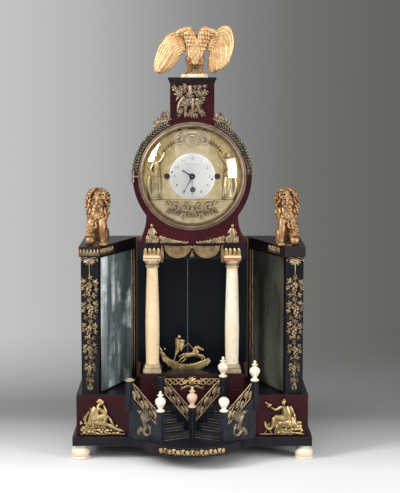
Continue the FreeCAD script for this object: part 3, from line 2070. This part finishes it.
def strike_hammer():
    half = size.gong_wire / 2
    y = size.gong_behind
    axis = FreeCAD.Vector(0, 1, 0)
    pivot = arbor(half, back_plate_front - size.running_clearance, y + half * 2)
    arm = Part.makeBox(half * 2, half * 2, size.hammer_arm_length, FreeCAD.Vector(-half, y, 0))
    head = Part.makeCylinder(
        size.hammer_head_radius,
        half * 3,
        FreeCAD.Vector(0, y, size.hammer_arm_length),
        axis,
    )
    whole = pivot.fuse([arm, head])
    whole.rotate(FreeCAD.Vector(), axis, HAMMER_LEAN)
    return place(scripted("strike_hammer", whole), size.hammer_side_offset, 0, dial_height - size.hammer_drop)


# Gilt mounts. The shares of each outline are of its own width and height.

LEAF_SHARES = [
    (0.0, 0.5),
    (0.14, 0.3),
    (0.42, 0.42),
    (0.34, 0.12),
    (0.5, -0.08),
    (0.24, -0.18),
    (0.2, -0.42),
    (0.0, -0.28),
    (-0.2, -0.42),
    (-0.24, -0.18),
    (-0.5, -0.08),
    (-0.34, 0.12),
    (-0.42, 0.42),
    (-0.14, 0.3),
]
VINE_LEVEL_SHARES = (
    (0.05, 0.7),
    (0.2, 1.0),
    (0.37, 0.9),
    (0.53, 0.8),
    (0.69, 0.74),
    (0.82, 0.6),
    (0.92, 0.44),
)


STEM_SHARE = 0.1


def vine_mounts():
    """A drop of vine leaves, each smaller than the one above, on a straight stem."""
    width = size.vine_width
    thick = size.mount_thickness
    middle = (size.wing_outer + size.wing_inner_front) / 2
    stem_width = width * STEM_SHARE
    bottom = wing_top_bottom - size.vine_length
    back = -size.pilaster_front
    stem = box(
        "vine_stem",
        middle - stem_width / 2,
        back - thick,
        bottom,
        stem_width,
        thick,
        size.vine_length,
    )
    pieces = [stem]
    for number, (level_share, width_share) in enumerate(VINE_LEVEL_SHARES, start=1):
        leaf = width * width_share
        level = wing_top_bottom - size.vine_length * level_share
        pieces.append(mount_plate(f"vine_leaf_{number}", LEAF_SHARES, leaf, leaf, middle, back, level, thick))
    return both_sides("vine_mounts", fuse("right_vine_mount", pieces))


FIGURE_SHARES = [
    (-0.5, 0.0),
    (0.5, 0.0),
    (0.48, 0.1),
    (0.3, 0.22),
    (0.22, 0.42),
    (0.14, 0.6),
    (0.1, 0.82),
    (0.04, 0.98),
    (-0.06, 1.0),
    (-0.12, 0.9),
    (-0.2, 0.78),
    (-0.28, 0.6),
    (-0.24, 0.45),
    (-0.38, 0.4),
    (-0.46, 0.3),
    (-0.44, 0.1),
]


def plinth_figures():
    figure = mount_plate(
        "right_plinth_figure",
        FIGURE_SHARES,
        size.figure_width,
        size.figure_height,
        (block_inner + size.tier_half_width) / 2,
        -size.block_front,
        slab_top + size.mount_thickness,
        size.figure_thickness,
    )
    return both_sides("plinth_figures", figure)


SPANDREL_SHARES = [
    (0.0, 0.0),
    (-1.0, 0.0),
    (-0.92, 0.12),
    (-0.7, 0.22),
    (-0.5, 0.42),
    (-0.34, 0.52),
    (-0.24, 0.72),
    (-0.16, 1.0),
    (-0.04, 0.98),
    (0.0, 0.7),
]


def spandrel_mounts():
    mount = mount_plate(
        "right_spandrel_mount",
        SPANDREL_SHARES,
        size.spandrel_width,
        size.spandrel_height,
        size.waist_half_width + size.drum_flare,
        size.drum_front,
        case_top,
        size.mount_thickness,
    )
    return both_sides("spandrel_mounts", mount)


TAIL_SHARES = [(1.04, -0.2), (1.12, -0.2), (1.11, -1.5), (1.07, -1.6), (1.04, -1.4)]
HALF_TASSEL_SHARES = [(0, -0.2), (0.048, -0.5), (0.08, -1.15), (0, -1.25)]
SWAG_SHARES = [(0.04, 0), (1, 0), (0.5, -1, "arc")]


def drapery_mount():
    """Two swags, a tassel between them and a tail at each outer end, on the face of the architrave."""
    top = case_top - size.podium_overhang
    pieces = []
    for name, shares in (("swag", SWAG_SHARES), ("tail", TAIL_SHARES), ("half_tassel", HALF_TASSEL_SHARES)):
        piece = mount_plate(
            f"right_{name}",
            shares,
            size.swag_width,
            size.swag_drop,
            0,
            size.architrave_front,
            top,
            size.mount_thickness,
        )
        pieces.append(piece)
    return both_sides("drapery_mount", group("right_drapery", pieces))


FRIEZE_LEVEL_SHARE = 0.56
FLOWER_SHARE = 0.5
WAVE_START_SHARE = 0.45
WAVE_RISE_SHARE = 0.28
RIBBON_SHARE = 0.1


def frieze_mount():
    """A running wave scroll either side of a round flower, on the front of the podium."""
    height = size.frieze_height
    middle = podium_top - size.podium_board - height * FRIEZE_LEVEL_SHARE
    thick = size.mount_thickness
    flower = Part.makeCylinder(
        height * FLOWER_SHARE,
        thick,
        FreeCAD.Vector(0, -thick, 0),
        FreeCAD.Vector(0, 1, 0),
    )
    ribbon = height * RIBBON_SHARE
    start = height * WAVE_START_SHARE
    length = size.frieze_width / 2 - start
    outer = []
    inner = []
    steps = FRIEZE_WAVES * POINTS_PER_WAVE
    for step in range(steps + 1):
        along = start + length * step / steps
        rise = height * WAVE_RISE_SHARE * math.sin(2 * math.pi * step / POINTS_PER_WAVE)
        outer.append(FreeCAD.Vector(along, 0, rise + ribbon))
        inner.append(FreeCAD.Vector(along, 0, rise - ribbon))
    band = outer + inner[::-1]
    scroll = Part.Face(Part.makePolygon(band + band[:1])).extrude(FreeCAD.Vector(0, -thick, 0))
    other = scroll.mirror(FreeCAD.Vector(), FreeCAD.Vector(1, 0, 0))
    whole = flower.fuse([scroll, other])
    whole.translate(FreeCAD.Vector(0, 0, middle))
    return scripted("frieze_mount", whole)


STRIP_EDGE_SHARE = 0.7


def bow_mount():
    """A foliate strip bent round the bow of the slab."""
    back = size.bow_radius + size.running_clearance
    thick = size.mount_thickness
    middle = size.foot_height + size.slab_thickness / 2
    half = size.bow_strip_height / 2
    section = [
        FreeCAD.Vector(0, -back, middle - half),
        FreeCAD.Vector(0, -back - thick, middle - half * STRIP_EDGE_SHARE),
        FreeCAD.Vector(0, -back - thick, middle + half * STRIP_EDGE_SHARE),
        FreeCAD.Vector(0, -back, middle + half),
    ]
    face = Part.Face(Part.makePolygon(section + section[:1]))
    face.rotate(FreeCAD.Vector(), FreeCAD.Vector(0, 0, 1), -BOW_MOUNT_SWEEP / 2)
    strip = face.revolve(FreeCAD.Vector(), FreeCAD.Vector(0, 0, 1), BOW_MOUNT_SWEEP)
    made = scripted("bow_mount", strip)
    return place(made, 0, size.bow_radius - size.bow_reach, 0)


CREATURE_SHARES = [
    (-0.1, 0.0),
    (0.16, 0.04),
    (0.3, 0.24),
    (0.18, 0.42),
    (0.3, 0.6),
    (0.26, 0.78),
    (0.06, 1.0),
    (-0.1, 0.92),
    (-0.06, 0.7),
    (-0.3, 0.5),
    (-0.34, 0.28),
    (-0.2, 0.12),
]


def stringer_mounts():
    """A winged creature on each outer stringer."""
    length = root(size.flight_across * size.flight_across + size.flight_depth * size.flight_depth)
    outline = scaled(
        CREATURE_SHARES,
        size.creature_height,
        size.creature_height,
        length / 2,
        slab_top + size.mount_thickness * 2,
    )
    mount = padded("right_stringer_mount", "XZ_Plane", [outline], size.mount_thickness)
    turn(mount, direction_angle(size.flight_across, size.flight_depth))
    out = size.stringer_thickness / length
    start = outer_point(0)
    place(mount, start[0] + size.flight_depth * out, start[1] - size.flight_across * out, 0)
    return both_sides("stringer_mounts", mount)


TROPHY_SHARES = [
    (-0.34, 1.0),
    (-0.1, 0.94),
    (0.0, 1.04),
    (0.1, 0.94),
    (0.34, 1.0),
    (0.4, 0.74),
    (0.28, 0.56),
    (0.36, 0.34),
    (0.3, 0.1),
    (0.14, 0.24),
    (0.06, 0.0),
    (-0.06, 0.2),
    (-0.18, 0.06),
    (-0.5, 0.08),
    (-0.46, 0.22),
    (-0.26, 0.36),
    (-0.38, 0.6),
    (-0.42, 0.78),
]


TROPHY_DROP_SHARE = 1.06


def trophy_mount():
    return mount_plate(
        "trophy_mount_plate",
        TROPHY_SHARES,
        size.trophy_width,
        size.trophy_height,
        0,
        size.drum_front,
        neck_top - size.trophy_height * TROPHY_DROP_SHARE,
        size.mount_thickness,
    )


def rim_band():
    """A leaf band on the round top of the drum, broken by the neck."""
    r = size.drum_radius
    thick = size.mount_thickness
    depth = size.rim_band_depth
    neck_angle = math.degrees(math.acos(size.neck_half_width / r))
    section = [
        FreeCAD.Vector(r, size.drum_front, 0),
        FreeCAD.Vector(r + thick, size.drum_front, 0),
        FreeCAD.Vector(r + thick, size.drum_front + depth, 0),
        FreeCAD.Vector(r, size.drum_front + depth, 0),
    ]
    face = Part.Face(Part.makePolygon(section + section[:1]))
    face.rotate(FreeCAD.Vector(), FreeCAD.Vector(0, 1, 0), -RIM_BAND_START)
    band = face.revolve(FreeCAD.Vector(), FreeCAD.Vector(0, 1, 0), -(neck_angle - RIM_BAND_START * 2))
    made = place(scripted("right_rim_band", band), 0, 0, dial_height)
    return both_sides("rim_band", made)


SIDE_STRIP_SHARES = {"left_side_strip": (0.02, 0.34), "right_side_strip": (0.12, 0.3)}


def cornice_mounts():
    """What is left of the palmette strips: the left front whole, a stretch on each slanted side."""
    over = size.wing_top_overhang
    front = -size.pilaster_front - over
    thick = size.mount_thickness
    level = wing_top_bottom + over
    height = size.cornice_strip_height
    inner = size.wing_inner_front - over
    outer = size.wing_outer + over
    front_strip = box("left_front_strip", -outer, front - thick, level, outer - inner, thick, height)
    across = size.wing_inner_back - inner
    depth = size.case_back - front
    angle = direction_angle(across, depth)
    strips = [front_strip]
    for name, (start_share, length_share) in SIDE_STRIP_SHARES.items():
        x = inner + across * start_share
        strip = box(name, x, front + depth * start_share, level, depth * length_share, thick, height)
        turn(strip, angle)
        strips.append(mirrored(f"{name}_mirrored", strip) if name.startswith("left") else strip)
    return group("cornice_mounts", strips)


# The whole clock, node by node

block = plinth_block()
posts, right_posts, newel = stair_posts(block)
lion = right_lion()
case = wing_case()
top = wing_top()
nodes = {
    "bun_feet": bun_feet(),
    "base_slab": base_slab(),
    "lower_tier": lower_tier(),
    "plinth_blocks": both_sides("plinth_blocks", block),
    "stair_posts": posts,
    "stair_flights": stair_flights(right_posts, newel),
    "inner_railings": inner_railings(right_posts, newel),
    "outer_railings": outer_railings(right_posts),
    "urn_finials": urn_finials(),
    "podium": podium(),
    "column_shafts": column_shafts(),
    "column_bases": column_bases(),
    "column_capitals": column_capitals(),
    "architrave": architrave(),
    "right_wing_case": case,
    "left_wing_case": mirrored("left_wing_case", case),
    "right_wing_top": top,
    "left_wing_top": mirrored("left_wing_top", top),
    "wing_mirrors": wing_mirrors(),
    "centre_mirror": centre_mirror(),
    "back_board": back_board(),
    "drum_block": drum_block(),
    "neck_block": neck_block(),
    "neck_cornice": neck_cornice(),
    "eagle": eagle(),
    "right_lion": lion,
    "left_lion": mirrored("left_lion", lion),
    "dial_mask": dial_mask(),
    "enamel_dial": enamel_dial(),
    "bezel": bezel(),
    "glass_dome": glass_dome(),
    "hinge_pins": hinge_pins(),
    "rear_door": rear_door(),
    "front_plate": front_plate(),
    "back_plate": back_plate(),
    "suspension_cock": suspension_cock(),
    "centre_wheel": centre_wheel(),
    "escape_wheel": escape_wheel(),
    "pallet_anchor": pallet_anchor(),
    "pendulum_rod": pendulum_rod(),
    "minute_hand": minute_hand(),
    "third_hand": third_hand(),
    "hour_hand": hour_hand(),
    "going_winding_arbor": winding_arbor("going_winding_arbor", "going"),
    "strike_winding_arbor": winding_arbor("strike_winding_arbor", "strike"),
    "quarter_winding_arbor": winding_arbor("quarter_winding_arbor", "quarter"),
    "spring_barrels": spring_barrels(),
    "gong": gong(),
    "strike_hammer": strike_hammer(),
    "vine_mounts": vine_mounts(),
    "plinth_figures": plinth_figures(),
    "spandrel_mounts": spandrel_mounts(),
    "drapery_mount": drapery_mount(),
    "frieze_mount": frieze_mount(),
    "bow_mount": bow_mount(),
    "stringer_mounts": stringer_mounts(),
    "trophy_mount": trophy_mount(),
    "rim_band": rim_band(),
    "cornice_mounts": cornice_mounts(),
}
doc.recompute()
nodes["pendulum_bob"] = pendulum_bob()
doc.recompute()

for thing in doc.Objects:
    if "Invalid" in thing.State or "Error" in thing.State:
        raise RuntimeError(f"{thing.Name} failed: {thing.State}")

os.makedirs("parts", exist_ok=True)
for name, thing in nodes.items():
    thing.Label = name
    shape = thing.Shape
    if shape.isNull() or not shape.isValid() or not shape.Solids:
        raise RuntimeError(f"{name} has no valid solid")
    shape.exportStep(f"parts/{name}.step")
    print(f"{name}: {len(shape.Solids)} solids")
